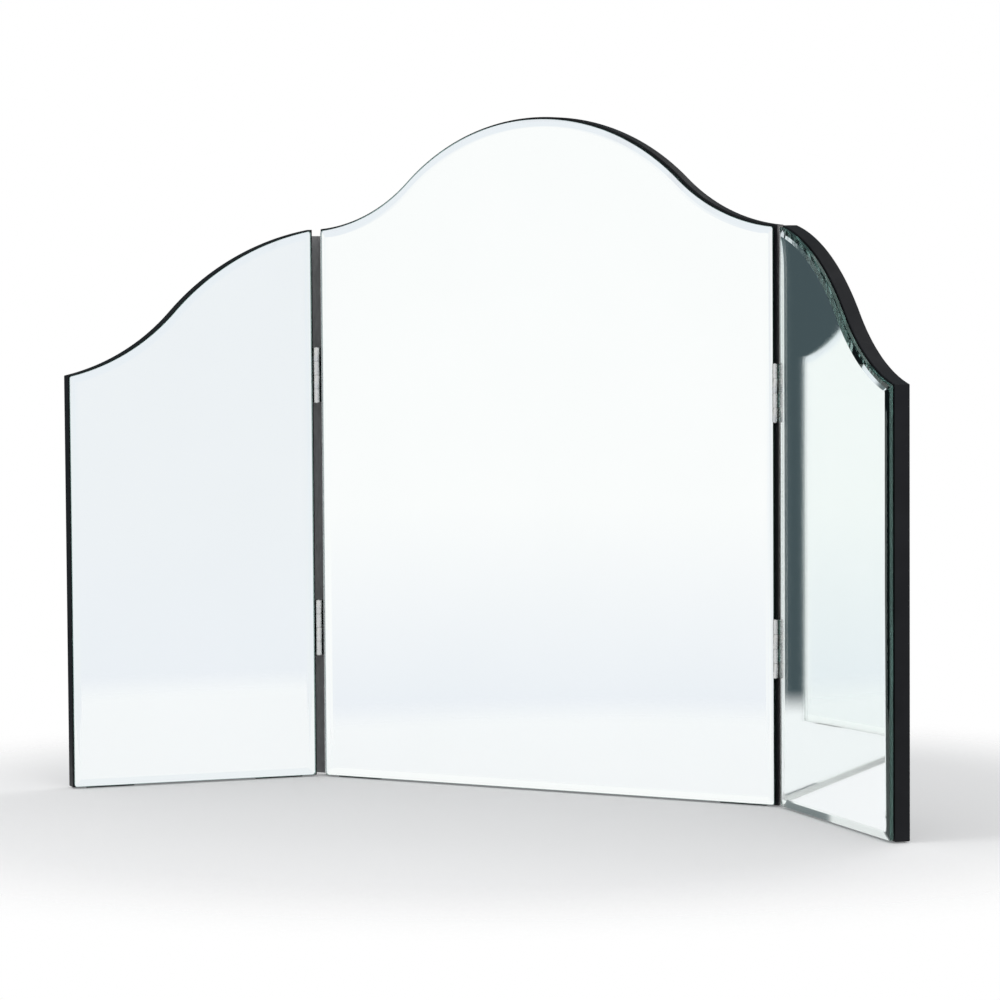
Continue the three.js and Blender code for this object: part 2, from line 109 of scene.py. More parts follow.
def add_node(tree, kind, inputs=None, **settings):
    """A node with its settings. An input is given a value, or the output that feeds it."""
    node = tree.nodes.new(kind)
    for setting, value in settings.items():
        setattr(node, setting, value)
    for socket, value in (inputs or {}).items():
        if isinstance(value, bpy.types.NodeSocket):
            tree.links.new(value, node.inputs[socket])
        else:
            node.inputs[socket].default_value = value
    return node


def calculate(tree, operation, *values):
    """The output of a Math node."""
    return add_node(tree, "ShaderNodeMath", dict(enumerate(values)), operation=operation).outputs[0]


def new_finish(name, **values):
    """A new material, with these values on its shader's own sockets, and its node tree."""
    material = bpy.data.materials.new(name)
    material.use_nodes = True
    tree = material.node_tree
    feed(tree, **values)
    return material, tree


def feed(tree, **inputs):
    """Gives the shader's sockets their values, or links the outputs that feed them."""
    for name, value in inputs.items():
        socket = tree.nodes["Principled BSDF"].inputs[name.replace("_", " ")]
        if isinstance(value, bpy.types.NodeSocket):
            tree.links.new(value, socket)
        else:
            socket.default_value = value


def grain(tree, scale, detail=2.0, stretch=(1.0, 1.0, 1.0), coordinates="Object"):
    """Noise, in patches to the metre, on the piece's own coordinates."""
    source = add_node(tree, "ShaderNodeTexCoord").outputs[coordinates]
    mapping = add_node(tree, "ShaderNodeMapping", {"Vector": source, "Scale": stretch})
    noise = {"Vector": mapping.outputs[0], "Scale": scale, "Detail": detail}
    return add_node(tree, "ShaderNodeTexNoise", noise).outputs["Fac"]


def spread(tree, value, low, high, start=0.3, end=0.7):
    """The value carried over from the range that a noise keeps to, into the range low to high."""
    limits = {"Value": value, "From Min": start, "From Max": end, "To Min": low, "To Max": high}
    return add_node(tree, "ShaderNodeMapRange", limits).outputs[0]


def blend_colours(tree, factor, first, second):
    """A colour between two linear RGB ones."""
    node = add_node(tree, "ShaderNodeMix", {"Factor": factor}, data_type="RGBA")
    node.inputs["A"].default_value = (*first, 1.0)
    node.inputs["B"].default_value = (*second, 1.0)
    return node.outputs["Result"]


def relief(tree, height, distance):
    """The normal of a surface whose relief is this many metres deep."""
    values = {"Height": height, "Distance": distance, "Strength": 1.0}
    return add_node(tree, "ShaderNodeBump", values).outputs["Normal"]


# A backboard carries each pane. It is 12 mm fibreboard under a top edge of two tangent arcs, painted
# satin black, recessed and drilled for the hinge leaves and rebated behind for the joint's cover
# strip.
# The grey band on its joint sides is painted light, which stands for the light that falls between the
# panels.
JOINT_HEIGHT = 0.450
CROWN_HEIGHT = 0.537
WING_END_HEIGHT = 0.334
PANE_WIDTHS = {"centre": 0.412, "left": 0.2045, "right": 0.2045}
CENTRE_END_SLOPE = math.radians(5.6)
CENTRE_SHOULDER_RADIUS = 0.139
WING_START_SLOPE = math.radians(10.8)
WING_END_SLOPE = math.radians(12.2)
WING_SHOULDER_RADIUS = 0.167
BOARD_RIM = 0.0008
TOP_RIMS = {"centre": 0.0018, "left": BOARD_RIM, "right": BOARD_RIM}
BOARD_BOTTOM = 0.001
BOARD_FRONT = 0.00625
BOARD_THICKNESS = 0.012
BOARD_EASING = 0.0007
EASING_STEPS = 4
PIN_TO_BOARD = 0.0008
PIN_TO_PANE = 0.003
BOARD_COLUMNS = {"centre": 144, "left": 72, "right": 72}
EDGE_ANGLE = math.radians(40)
BOARD_CREASE = math.radians(32)
WELD = 1e-6
FLATNESS = math.radians(1)
PAINT, PAINTED_LIGHT_SIDE = 0, 1
LEAF_FACE = 0.0004
LEAF_THICKNESS = 0.001
LEAF_REACH = 0.016
HINGE_LENGTH = 0.045
RECESS_GAP = 0.0003
SCREWS_PER_LEAF = 2
SCREW_END_MARGIN = 0.0085
SCREW_SETBACK = 0.011125
PILOT_RADIUS = 0.00125
PILOT_DEPTH = 0.0115
PILOT_SIDES = 16
STRIP_THICKNESS = 0.0008
PAINT_COLOURS = ((0.0085, 0.009, 0.0105), (0.0145, 0.0155, 0.018))
PAINT_ORANGE_PEEL = 0.00002
# Painted light: the lighter grey given to the joint sides in place of the lit black paint.
PAINTED_LIGHT_SIDE_COLOURS = ((0.190, 0.185, 0.185), (0.250, 0.243, 0.243))
PAINTED_LIGHT_SIDE_DEPTH = 0.0004
SIDEWAYS = 0.9


def top_curve(width, start_height, end_height, start_slope, end_slope, shoulder_radius):
    """The crown and shoulder arcs of a top edge, from the height where the crown starts."""
    drop = start_height - end_height
    reach = (width ** 2 + drop ** 2
             + 2 * shoulder_radius * (width * math.sin(end_slope) - drop * math.cos(end_slope)))
    fall = (shoulder_radius * (1 - math.cos(end_slope - start_slope))
            + drop * math.cos(start_slope) - width * math.sin(start_slope))
    crown_radius = reach / (2 * fall)
    crown = Vector((-math.sin(start_slope), -math.cos(start_slope))) * crown_radius
    crown += Vector((0, start_height))
    shoulder = Vector((math.sin(end_slope), math.cos(end_slope))) * shoulder_radius
    shoulder += Vector((width, end_height))
    between = shoulder - crown
    return {"crown": crown, "crown_radius": crown_radius, "shoulder": shoulder,
            "shoulder_radius": shoulder_radius, "join_slope": math.atan2(between.x, between.y)}


wing_curve = top_curve(PANE_WIDTHS["right"], JOINT_HEIGHT, WING_END_HEIGHT, WING_START_SLOPE,
                       WING_END_SLOPE, WING_SHOULDER_RADIUS)
curves = {
    "centre": top_curve(PANE_WIDTHS["centre"] / 2, CROWN_HEIGHT, JOINT_HEIGHT, 0.0,
                        CENTRE_END_SLOPE, CENTRE_SHOULDER_RADIUS),
    "left": wing_curve,
    "right": wing_curve,
}


def started_tree(name, *kinds):
    """A new node tree and what it is given: inputs named after each kind of socket, in order."""
    tree = bpy.data.node_groups.new(name, "GeometryNodeTree")
    for kind, *names in kinds:
        for label in names:
            tree.interface.new_socket(label, in_out="INPUT", socket_type=f"NodeSocket{kind}")
    tree.interface.new_socket("Geometry", in_out="OUTPUT", socket_type="NodeSocketGeometry")
    return tree, add_node(tree, "NodeGroupInput").outputs


def end_tree(tree, geometry, material):
    """Makes the geometry real, gives it the material and puts it out."""
    real = add_node(tree, "GeometryNodeRealizeInstances", {"Geometry": geometry})
    covered = add_node(tree, "GeometryNodeSetMaterial", {
        "Geometry": real.outputs[0], "Material": material})
    add_node(tree, "NodeGroupOutput", {"Geometry": covered.outputs[0]})


def board_blank_tree():
    """The node tree of a board blank: columns up to the top edge, made solid towards the back."""
    tree, given = started_tree(
        "board_blank",
        ("Float", "Left", "Right", "Bottom", "Front", "Thickness", "Pane Start", "Crown X", "Crown Z",
         "Crown Radius", "Shoulder X", "Shoulder Z", "Shoulder Radius", "Join X"),
        ("Int", "Columns"), ("Material", "Paint"))
    width = calculate(tree, "SUBTRACT", given["Right"], given["Left"])
    middle = calculate(tree, "MULTIPLY", calculate(tree, "ADD", given["Right"], given["Left"]), 0.5)
    sheet = add_node(tree, "GeometryNodeMeshGrid", {
        "Size X": width, "Size Y": 1.0, "Vertices X": given["Columns"], "Vertices Y": 2})
    position = add_node(tree, "GeometryNodeInputPosition").outputs[0]
    across = add_node(tree, "ShaderNodeSeparateXYZ", {0: position}).outputs
    x = calculate(tree, "ADD", across["X"], middle)
    rise = calculate(tree, "ADD", across["Y"], 0.5)
    along = calculate(tree, "SUBTRACT", calculate(tree, "ABSOLUTE", x), given["Pane Start"])

    def arc(centre_x, centre_z, radius, way):
        """How high an arc lies at each point of the sheet."""
        offset = calculate(tree, "SUBTRACT", along, given[centre_x])
        square = calculate(tree, "SUBTRACT", calculate(tree, "MULTIPLY", given[radius], given[radius]),
                           calculate(tree, "MULTIPLY", offset, offset))
        return calculate(tree, way, given[centre_z], calculate(tree, "SQRT", square))

    crown = arc("Crown X", "Crown Z", "Crown Radius", "ADD")
    shoulder = arc("Shoulder X", "Shoulder Z", "Shoulder Radius", "SUBTRACT")
    beyond = calculate(tree, "GREATER_THAN", along, given["Join X"])
    top = add_node(tree, "ShaderNodeMix", {"Factor": beyond, "A": crown, "B": shoulder})
    height = add_node(tree, "ShaderNodeMix", {
        "Factor": rise, "A": given["Bottom"], "B": top.outputs["Result"]})
    corner = add_node(tree, "ShaderNodeCombineXYZ", {
        "X": x, "Y": given["Front"], "Z": height.outputs["Result"]})
    front = add_node(tree, "GeometryNodeSetPosition", {
        "Geometry": sheet.outputs["Mesh"], "Position": corner.outputs[0]}).outputs[0]
    backwards = calculate(tree, "MULTIPLY", given["Thickness"], -1.0)
    back = add_node(tree, "GeometryNodeExtrudeMesh", {
        "Mesh": front, "Offset Scale": backwards, "Individual": False}).outputs["Mesh"]
    turned_out = add_node(tree, "GeometryNodeFlipFaces", {"Mesh": back}).outputs[0]
    both = add_node(tree, "GeometryNodeJoinGeometry", {"Geometry": front})
    tree.links.new(turned_out, both.inputs[0])
    closed = add_node(tree, "GeometryNodeMergeByDistance", {"Geometry": both.outputs[0]})
    end_tree(tree, closed.outputs[0], given["Paint"])
    return tree


def grown(tree, values, start_mesh=None):
    """The plain mesh that a node tree makes with these named inputs."""
    carrier = in_scene("carrier", start_mesh or bpy.data.meshes.new("carrier"))
    modifier = carrier.modifiers.new("maker", "NODES")
    modifier.node_group = tree
    for socket in tree.interface.items_tree:
        if socket.in_out == "INPUT" and socket.name in values:
            modifier[socket.identifier] = values[socket.name]
    return made_by(carrier)


def solid_box(low, high):
    """A closed box between two corners."""
    form = bmesh.new()
    bmesh.ops.create_cube(form, size=1.0)
    size = Vector(high) - Vector(low)
    bmesh.ops.scale(form, vec=size, verts=form.verts)
    bmesh.ops.translate(form, vec=(Vector(low) + Vector(high)) / 2, verts=form.verts)
    return form


def as_mesh(form, name):
    """The mesh of a finished form."""
    bmesh.ops.recalc_face_normals(form, faces=form.faces)
    mesh = bpy.data.meshes.new(name)
    form.to_mesh(mesh)
    form.free()
    return mesh


def joined(meshes, name):
    """One mesh that holds several, with their materials."""
    form = bmesh.new()
    materials = []
    for mesh in meshes:
        first = len(form.faces)
        form.from_mesh(mesh)
        form.faces.ensure_lookup_table()
        numbers = []
        for material in mesh.materials:
            if material not in materials:
                materials.append(material)
            numbers.append(materials.index(material))
        for face in form.faces[first:]:
            face.material_index = numbers[face.material_index] if numbers else 0
    result = bpy.data.meshes.new(name)
    form.to_mesh(result)
    form.free()
    for material in materials:
        result.materials.append(material)
    return result


def cut_out(mesh, tool):
    """A mesh with a tool's mesh cut out of it."""
    carrier = in_scene("tool", tool)
    result = applied(mesh, "BOOLEAN", operation="DIFFERENCE", object=carrier, solver="EXACT",
                     use_self=True)
    bpy.data.objects.remove(carrier)
    return result


def shaded(mesh, crease):
    """Smooth shading that stays flat on the flats and sharp at the creases."""
    for face in mesh.polygons:
        face.use_smooth = True
    mesh.set_sharp_from_angle(angle=crease)
    return applied(mesh, "WEIGHTED_NORMAL", keep_sharp=True, weight=100)


def hinge_bottoms(side):
    """The heights at which a side's lower and upper hinge start."""
    return {level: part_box(f"{level}_{side}_hinge_centre_leaf")[0].z for level in ("lower", "upper")}


screw_spacing = (HINGE_LENGTH - 2 * SCREW_END_MARGIN) / (SCREWS_PER_LEAF - 1)
screw_heights = [SCREW_END_MARGIN + index * screw_spacing for index in range(SCREWS_PER_LEAF)]


def eased_copy(node, finish, rounding, segments):
    """A copy of a node of the frame with its edges rounded."""
    form = bmesh.new()
    form.from_mesh(node.data)
    bmesh.ops.remove_doubles(form, verts=form.verts, dist=WELD)
    bmesh.ops.dissolve_limit(form, angle_limit=FLATNESS, verts=form.verts, edges=form.edges)
    copy = as_mesh(form, node.name)
    copy.materials.append(finish)
    copy = applied(copy, "BEVEL", width=rounding, segments=segments, limit_method="ANGLE",
                   angle_limit=EDGE_ANGLE)
    return shaded(copy, EDGE_ANGLE)


def sideways_cone(middle, start_radius, end_radius, length, sides):
    """A closed cone, or a cylinder, that lies along X."""
    form = bmesh.new()
    bmesh.ops.create_cone(form, cap_ends=True, segments=sides, radius1=start_radius,
                          radius2=end_radius, depth=length)
    bmesh.ops.rotate(form, matrix=Matrix.Rotation(math.pi / 2, 3, "Y"), verts=form.verts)
    bmesh.ops.translate(form, vec=middle, verts=form.verts)
    return as_mesh(form, "cone")


def leaf_cutters(pin_x, sign, bottom):
    """The recess of one leaf and its pilot holes. The board lies on the sign's side of the pin."""
    depth = LEAF_FACE + LEAF_THICKNESS + RECESS_GAP
    low = (pin_x - depth, BOARD_FRONT - BOARD_THICKNESS, bottom - RECESS_GAP)
    high = (pin_x + depth, LEAF_REACH + RECESS_GAP, bottom + HINGE_LENGTH + RECESS_GAP)
    cutters = [as_mesh(solid_box(low, high), "recess")]
    for height in screw_heights:
        middle = (pin_x + sign * (LEAF_FACE + PILOT_DEPTH / 2), SCREW_SETBACK, bottom + height)
        cutters.append(sideways_cone(middle, PILOT_RADIUS, PILOT_RADIUS, PILOT_DEPTH, PILOT_SIDES))
    return cutters


def rebate_cutter(pin_x, sign, length, strip_top):
    """The rebate in a board's back for the part of a cover strip that lies on the sign's side."""
    wall = pin_x + sign * (length + RECESS_GAP)
    board_back = BOARD_FRONT + BOARD_THICKNESS
    low = (min(pin_x, wall), board_back - STRIP_THICKNESS - RECESS_GAP, 0.0)
    high = (max(pin_x, wall), board_back + STRIP_THICKNESS, strip_top + RECESS_GAP)
    return as_mesh(solid_box(low, high), "rebate")


paint, paint_tree = new_finish("satin_black_paint", Specular_IOR_Level=0.12)
cloud = spread(paint_tree, grain(paint_tree, scale=22.0, detail=4.0), 0.0, 1.0)
feed(paint_tree,
     Base_Color=blend_colours(paint_tree, cloud, *PAINT_COLOURS),
     Roughness=spread(paint_tree, grain(paint_tree, scale=60.0, detail=3.0), 0.42, 0.56),
     Normal=relief(paint_tree, grain(paint_tree, scale=700.0, detail=2.0), PAINT_ORANGE_PEEL))

# Painted light: the joint sides get this lighter grey, which stands for light falling between the
# panels.
painted_light_finish, painted_light_tree = new_finish("joint_side_painted_light", Specular_IOR_Level=0.2)
weave = spread(painted_light_tree, grain(painted_light_tree, scale=320.0, detail=4.0), 0.0, 1.0)
feed(painted_light_tree,
     Base_Color=blend_colours(painted_light_tree, weave, *PAINTED_LIGHT_SIDE_COLOURS),
     Roughness=spread(painted_light_tree, grain(painted_light_tree, scale=90.0, detail=3.0), 0.6, 0.75))

blank_tree = board_blank_tree()
centre_board_half = PANE_WIDTHS["centre"] / 2 + PIN_TO_PANE - PIN_TO_BOARD
wing_board_end = PIN_TO_PANE + PANE_WIDTHS["right"] + BOARD_RIM
board_reach = {
    "centre": (-centre_board_half, centre_board_half),
    "left": (-wing_board_end, -PIN_TO_BOARD),
    "right": (PIN_TO_BOARD, wing_board_end),
}
for panel, body in BODIES.items():
    curve = curves[panel]
    rim = TOP_RIMS[panel]
    blank = grown(blank_tree, {
        "Left": board_reach[panel][0],
        "Right": board_reach[panel][1],
        "Bottom": BOARD_BOTTOM,
        "Front": BOARD_FRONT,
        "Thickness": BOARD_THICKNESS,
        "Pane Start": 0.0 if panel == "centre" else PIN_TO_PANE,
        "Crown X": curve["crown"].x,
        "Crown Z": curve["crown"].y,
        "Crown Radius": curve["crown_radius"] + rim,
        "Shoulder X": curve["shoulder"].x,
        "Shoulder Z": curve["shoulder"].y,
        "Shoulder Radius": curve["shoulder_radius"] - rim,
        "Join X": curve["crown"].x + (curve["crown_radius"] + rim) * math.sin(curve["join_slope"]),
        "Columns": BOARD_COLUMNS[panel],
        "Paint": paint,
    })
    eased = applied(blank, "BEVEL", width=BOARD_EASING, segments=EASING_STEPS, limit_method="ANGLE",
                    angle_limit=EDGE_ANGLE)
    if panel == "centre":
        leaf_places = [(side, sign * (centre_board_half + PIN_TO_BOARD), -sign)
                       for side, sign in SIDES.items()]
    else:
        leaf_places = [(panel, 0.0, SIDES[panel])]
    cutters = []
    for side, pin_x, sign in leaf_places:
        for bottom in hinge_bottoms(side).values():
            cutters += leaf_cutters(pin_x, sign, bottom)
        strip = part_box(f"{side}_joint_cover_strip")
        ends = sorted(abs(corner.x - pin_lines[side].x) for corner in strip)
        length = ends[0] if panel == "centre" else ends[1]
        cutters.append(rebate_cutter(pin_x, sign, length, strip[1].z))
    board = cut_out(eased, joined(cutters, "cutters"))
    board.materials.clear()
    board.materials.append(paint)
    board.materials.append(painted_light_finish)
    # The faces of the joint sides get the painted light finish, the others the black paint.
    joint_end = min(abs(end) for end in board_reach[panel])
    for face in board.polygons:
        from_joint = abs(abs(face.center.x) - joint_end)
        is_painted_light = abs(face.normal.x) > SIDEWAYS and from_joint < PAINTED_LIGHT_SIDE_DEPTH
        face.material_index = PAINTED_LIGHT_SIDE if is_painted_light else PAINT
    board = shaded(board, BOARD_CREASE)
    board.transform(places[panel])
    show(f"{panel}_board", board, body, [f"{panel}_backboard"])


# A pane of mirror glass is taped to the front of each board. It is 4 mm float glass, silvered behind,
# with a ground and polished bevel all round, softened corners and a green edge. It is one closed
# body of clear glass, and its back face is the silver.
GLASS_BOTTOM = 0.0018
GLASS_FRONT = 0.00125
GLASS_THICKNESS = 0.004
BEVEL_WIDTH = 0.006
BEVEL_DEPTH = 0.0012
ARRIS = 0.00025
CORNER_RADIUS = 0.002
CORNER_STEPS = 6
CROWN_COLUMNS = 40
SHOULDER_COLUMNS = 26
PANE_WELD = 1e-7
PANE_CREASE = math.radians(8)
FLAT, BEVEL, EDGE, SILVER = 0, 1, 2, 3
GLASS_IOR = 1.52
GREEN_SHEEN = (0.72, 1.0, 0.92, 1.0)
EDGE_CLEARNESS = 0.85
SILVER_COLOURS = ((0.962, 0.980, 0.975), (0.970, 0.986, 0.982))
GLASS_COLOURS = ((0.990, 0.997, 0.995), (0.994, 1.0, 0.998))
BEVEL_COLOURS = ((0.970, 0.990, 0.982), (0.985, 0.997, 0.992))
EDGE_COLOURS = ((0.11, 0.22, 0.195), (0.18, 0.32, 0.285))
POLISHING_RIPPLE = 0.000004
SILVER_HAZE = 0.012

silver, silver_tree = new_finish("silver_backing", Metallic=1.0)
clouding = spread(silver_tree, grain(silver_tree, scale=9.0, detail=3.0), 0.0, 1.0)
haze = grain(silver_tree, scale=14.0, detail=4.0)
feed(silver_tree,
     Base_Color=blend_colours(silver_tree, clouding, *SILVER_COLOURS),
     Roughness=spread(silver_tree, haze, 0.0, SILVER_HAZE, start=0.45, end=0.75))

flat, flat_tree = new_finish("float_glass", Roughness=0.0, Transmission_Weight=1.0, IOR=GLASS_IOR)
tint = spread(flat_tree, grain(flat_tree, scale=9.0, detail=3.0), 0.0, 1.0)
feed(flat_tree, Base_Color=blend_colours(flat_tree, tint, *GLASS_COLOURS))

bevel, bevel_tree = new_finish("polished_bevel", Transmission_Weight=1.0, IOR=GLASS_IOR,
                               Specular_Tint=GREEN_SHEEN)
strokes = grain(bevel_tree, scale=40.0, detail=3.0, stretch=(1.0, 0.2, 1.0), coordinates="UV")
ripples = grain(bevel_tree, scale=220.0, detail=1.0, stretch=(1.0, 0.1, 1.0), coordinates="UV")
feed(bevel_tree,
     Base_Color=blend_colours(bevel_tree, spread(bevel_tree, strokes, 0.0, 1.0), *BEVEL_COLOURS),
     Roughness=spread(bevel_tree, strokes, 0.0, 0.03),
     Normal=relief(bevel_tree, ripples, POLISHING_RIPPLE))

edge, edge_tree = new_finish("green_glass_edge", Transmission_Weight=EDGE_CLEARNESS, IOR=GLASS_IOR,
                             Specular_Tint=GREEN_SHEEN)
shade = grain(edge_tree, scale=26.0, detail=4.0, stretch=(1.0, 3.0, 1.0), coordinates="UV")
scratches = grain(edge_tree, scale=300.0, detail=2.0, stretch=(1.0, 0.2, 1.0), coordinates="UV")
feed(edge_tree,
     Base_Color=blend_colours(edge_tree, spread(edge_tree, shade, 0.0, 1.0), *EDGE_COLOURS),
     Roughness=spread(edge_tree, scratches, 0.05, 0.15))


def top_points(curve, inset, start, end):
    """Points of a top edge moved inwards by an inset, between two distances along the panel."""
    crown_radius = curve["crown_radius"] - inset
    shoulder_radius = curve["shoulder_radius"] + inset
    start_slope = math.asin((start - curve["crown"].x) / crown_radius)
    end_slope = math.asin((curve["shoulder"].x - end) / shoulder_radius)
    join_slope = curve["join_slope"]
    points = []
    for step in range(CROWN_COLUMNS):
        slope = start_slope + (join_slope - start_slope) * step / CROWN_COLUMNS
        points.append(curve["crown"] + Vector((math.sin(slope), math.cos(slope))) * crown_radius)
    for step in range(SHOULDER_COLUMNS + 1):
        slope = join_slope + (end_slope - join_slope) * step / SHOULDER_COLUMNS
        points.append(curve["shoulder"] - Vector((math.sin(slope), math.cos(slope))) * shoulder_radius)
    return points


def softened(before, corner, after, radius):
    """The arc that rounds a corner between two neighbours, or the corner itself many times."""
    if radius == 0:
        return [corner.copy() for _ in range(CORNER_STEPS + 1)]
    back = (before - corner).normalized()
    on = (after - corner).normalized()
    half = math.acos(max(-1.0, min(1.0, back.dot(on)))) / 2
    centre = corner + (back + on).normalized() * radius / math.sin(half)
    first = corner + back * radius / math.tan(half) - centre
    last = corner + on * radius / math.tan(half) - centre
    turn = math.atan2(first.cross(last), first.dot(last))
    arc = []
    for step in range(CORNER_STEPS + 1):
        angle = turn * step / CORNER_STEPS
        arc.append(centre + Matrix.Rotation(angle, 2) @ first)
    return arc


def pane_ring(panel, inset, radius):
    """A pane's outline, anticlockwise from the bottom left, as a bottom row and a top row."""
    width = PANE_WIDTHS[panel]
    curve = curves[panel]
    if panel == "centre":
        half = top_points(curve, inset, 0.0, width / 2 - inset)
        top = [Vector((-point.x, point.y)) for point in reversed(half[1:])] + half
    else:
        along = top_points(curve, inset, inset, width - inset)
        top = [point + Vector((PIN_TO_PANE, 0)) for point in along]
        if SIDES[panel] < 0:
            top = [Vector((-point.x, point.y)) for point in reversed(top)]
    bottom = [Vector((point.x, GLASS_BOTTOM + inset)) for point in top]
    lower_left = softened(top[0], bottom[0], bottom[1], radius)
    lower_right = softened(bottom[-2], bottom[-1], top[-1], radius)
    upper_right = softened(bottom[-1], top[-1], top[-2], radius)
    upper_left = softened(top[1], top[0], bottom[0], radius)
    lower = lower_left + bottom[1:-1] + lower_right
    upper = upper_right + list(reversed(top[1:-1])) + upper_left
    return lower + upper


def pane_mesh(panel):
    """The pane: rings from the back to the flat of the front, with a cap at each end."""
    glass_back = GLASS_FRONT + GLASS_THICKNESS
    bevel_foot = GLASS_FRONT + BEVEL_DEPTH
    small_radius = CORNER_RADIUS - ARRIS
    rings = [
        (pane_ring(panel, ARRIS, small_radius), glass_back, EDGE),
        (pane_ring(panel, 0.0, CORNER_RADIUS), glass_back - ARRIS, EDGE),
        (pane_ring(panel, 0.0, CORNER_RADIUS), bevel_foot + ARRIS, EDGE),
        (pane_ring(panel, ARRIS, small_radius), bevel_foot, BEVEL),
        (pane_ring(panel, BEVEL_WIDTH, 0.0), GLASS_FRONT, FLAT),
    ]
    form = bmesh.new()
    around = form.loops.layers.uv.new("around")
    rows = []
    for points, depth, _ in rings:
        rows.append([form.verts.new((point.x, depth, point.y)) for point in points])
    count = len(rows[0])
    travelled = [0.0]
    for index in range(count):
        step = (rows[1][(index + 1) % count].co - rows[1][index].co).length
        travelled.append(travelled[-1] + step)
    for level in range(len(rows) - 1):
        for index in range(count):
            after = (index + 1) % count
            face = form.faces.new((rows[level][index], rows[level][after],
                                   rows[level + 1][after], rows[level + 1][index]))
            face.material_index = rings[level][2]
            corners = ((index, level), (index + 1, level), (index + 1, level + 1), (index, level + 1))
            for loop, (place, ring) in zip(face.loops, corners):
                loop[around].uv = (travelled[place], rings[ring][1])
    half = count // 2
    for row, number, flip in ((rows[0], SILVER, True), (rows[-1], FLAT, False)):
        for index in range(half - 1):
            corners = [row[index], row[index + 1], row[count - 2 - index], row[count - 1 - index]]
            face = form.faces.new(reversed(corners) if flip else corners)
            face.material_index = number
    bmesh.ops.remove_doubles(form, verts=form.verts, dist=PANE_WELD)
    mesh = as_mesh(form, f"{panel}_pane")
    for material in (flat, bevel, edge, silver):
        mesh.materials.append(material)
    for face in mesh.polygons:
        face.use_smooth = True
    mesh.set_sharp_from_angle(angle=PANE_CREASE)
    mesh.transform(places[panel])
    return mesh


for panel, body in BODIES.items():
    show(f"{panel}_pane", pane_mesh(panel), body, [f"{panel}_mirror_glass"])


# Double-sided foam tape holds each pane to its board. The strips are upright and stay hidden in the
# gap between them, so the frame's own strips are kept, with the look of white foam.
FOAM_COLOURS = ((0.70, 0.70, 0.67), (0.80, 0.80, 0.77))
FOAM_CELL_DEPTH = 0.00008
foam, foam_tree = new_finish("mounting_foam", Roughness=0.9)
cells = spread(foam_tree, grain(foam_tree, scale=1500.0, detail=3.0), 0.0, 1.0)
feed(foam_tree,
     Base_Color=blend_colours(foam_tree, cells, *FOAM_COLOURS),
     Normal=relief(foam_tree, cells, FOAM_CELL_DEPTH))
for name, node in frame["nodes"].items():
    if name.endswith("mounting_tape"):
        node.data.materials.clear()
        node.data.materials.append(foam)


# Two butt hinges hold each wing. A leaf is nickel-plated steel, 1 mm thick, with every second
# knuckle rolled from it, and lies in its recess in the board's edge.
KNUCKLE_COUNT = 4
KNUCKLE_GAP = 0.0002
BARREL_RADIUS = 0.0022
BORE_RADIUS = 0.00105
KNUCKLE_ROOM = 0.0025
SEAM_ANGLE = math.radians(100)
SEAM_HALF_WIDTH = math.radians(3)
BARREL_STEPS = 40
LEAF_EDGE_ROUNDING = 0.00012
LEAF_CREASE = math.radians(30)
COUNTERSINK_SIDES = 32
SCREW_HEAD_RADIUS = 0.0022
SCREW_RADIUS = 0.0011
COUNTERSINK_GAP = 0.00042
NICKEL_COLOURS = ((0.60, 0.60, 0.59), (0.70, 0.70, 0.69))
BRUSHING_DEPTH = 0.000001
knuckle_length = (HINGE_LENGTH - (KNUCKLE_COUNT - 1) * KNUCKLE_GAP) / KNUCKLE_COUNT

nickel, nickel_tree = new_finish("nickel_plate", Metallic=1.0)
brushing = grain(nickel_tree, scale=900.0, detail=3.0, stretch=(1.0, 1.0, 0.06))
feed(nickel_tree,
     Base_Color=blend_colours(nickel_tree, spread(nickel_tree, brushing, 0.0, 1.0), *NICKEL_COLOURS),
     Roughness=spread(nickel_tree, grain(nickel_tree, scale=260.0, detail=3.0), 0.2, 0.34),
     Normal=relief(nickel_tree, brushing, BRUSHING_DEPTH))


def pulled_up(section, length):
    """A closed solid with this section, standing on Z = 0."""
    form = bmesh.new()
    foot = [form.verts.new((x, y, 0.0)) for x, y in section]
    form.faces.new(foot)
    bmesh.ops.recalc_face_normals(form, faces=form.faces)
    raised = bmesh.ops.extrude_face_region(form, geom=form.faces[:])["geom"]
    lifted = [item for item in raised if isinstance(item, bmesh.types.BMVert)]
    bmesh.ops.translate(form, vec=(0, 0, length), verts=lifted)
    return form


def on_circle(radius, angle):
    """A point of a circle about the pin."""
    return (radius * math.cos(angle), radius * math.sin(angle))


def knuckle_section():
    """A strip that comes along the leaf and is rolled round the pin, up to a narrow seam."""
    back = LEAF_FACE + LEAF_THICKNESS
    start = math.acos(back / BARREL_RADIUS)
    full = 2 * math.pi
    seam_end = SEAM_ANGLE + SEAM_HALF_WIDTH
    seam_start = SEAM_ANGLE - SEAM_HALF_WIDTH
    turn = start - (seam_end - full)
    section = [(back, KNUCKLE_ROOM + LEAF_THICKNESS)]
    section += [on_circle(BARREL_RADIUS, start - turn * step / BARREL_STEPS)
                for step in range(BARREL_STEPS + 1)]
    inner_turn = full - 2 * SEAM_HALF_WIDTH
    section += [on_circle(BORE_RADIUS, seam_end + inner_turn * step / BARREL_STEPS)
                for step in range(BARREL_STEPS + 1)]
    face_angle = math.acos(LEAF_FACE / BARREL_RADIUS)
    section += [on_circle(BARREL_RADIUS, seam_start), on_circle(BARREL_RADIUS, face_angle)]
    section.append((LEAF_FACE, KNUCKLE_ROOM + LEAF_THICKNESS))
    return section


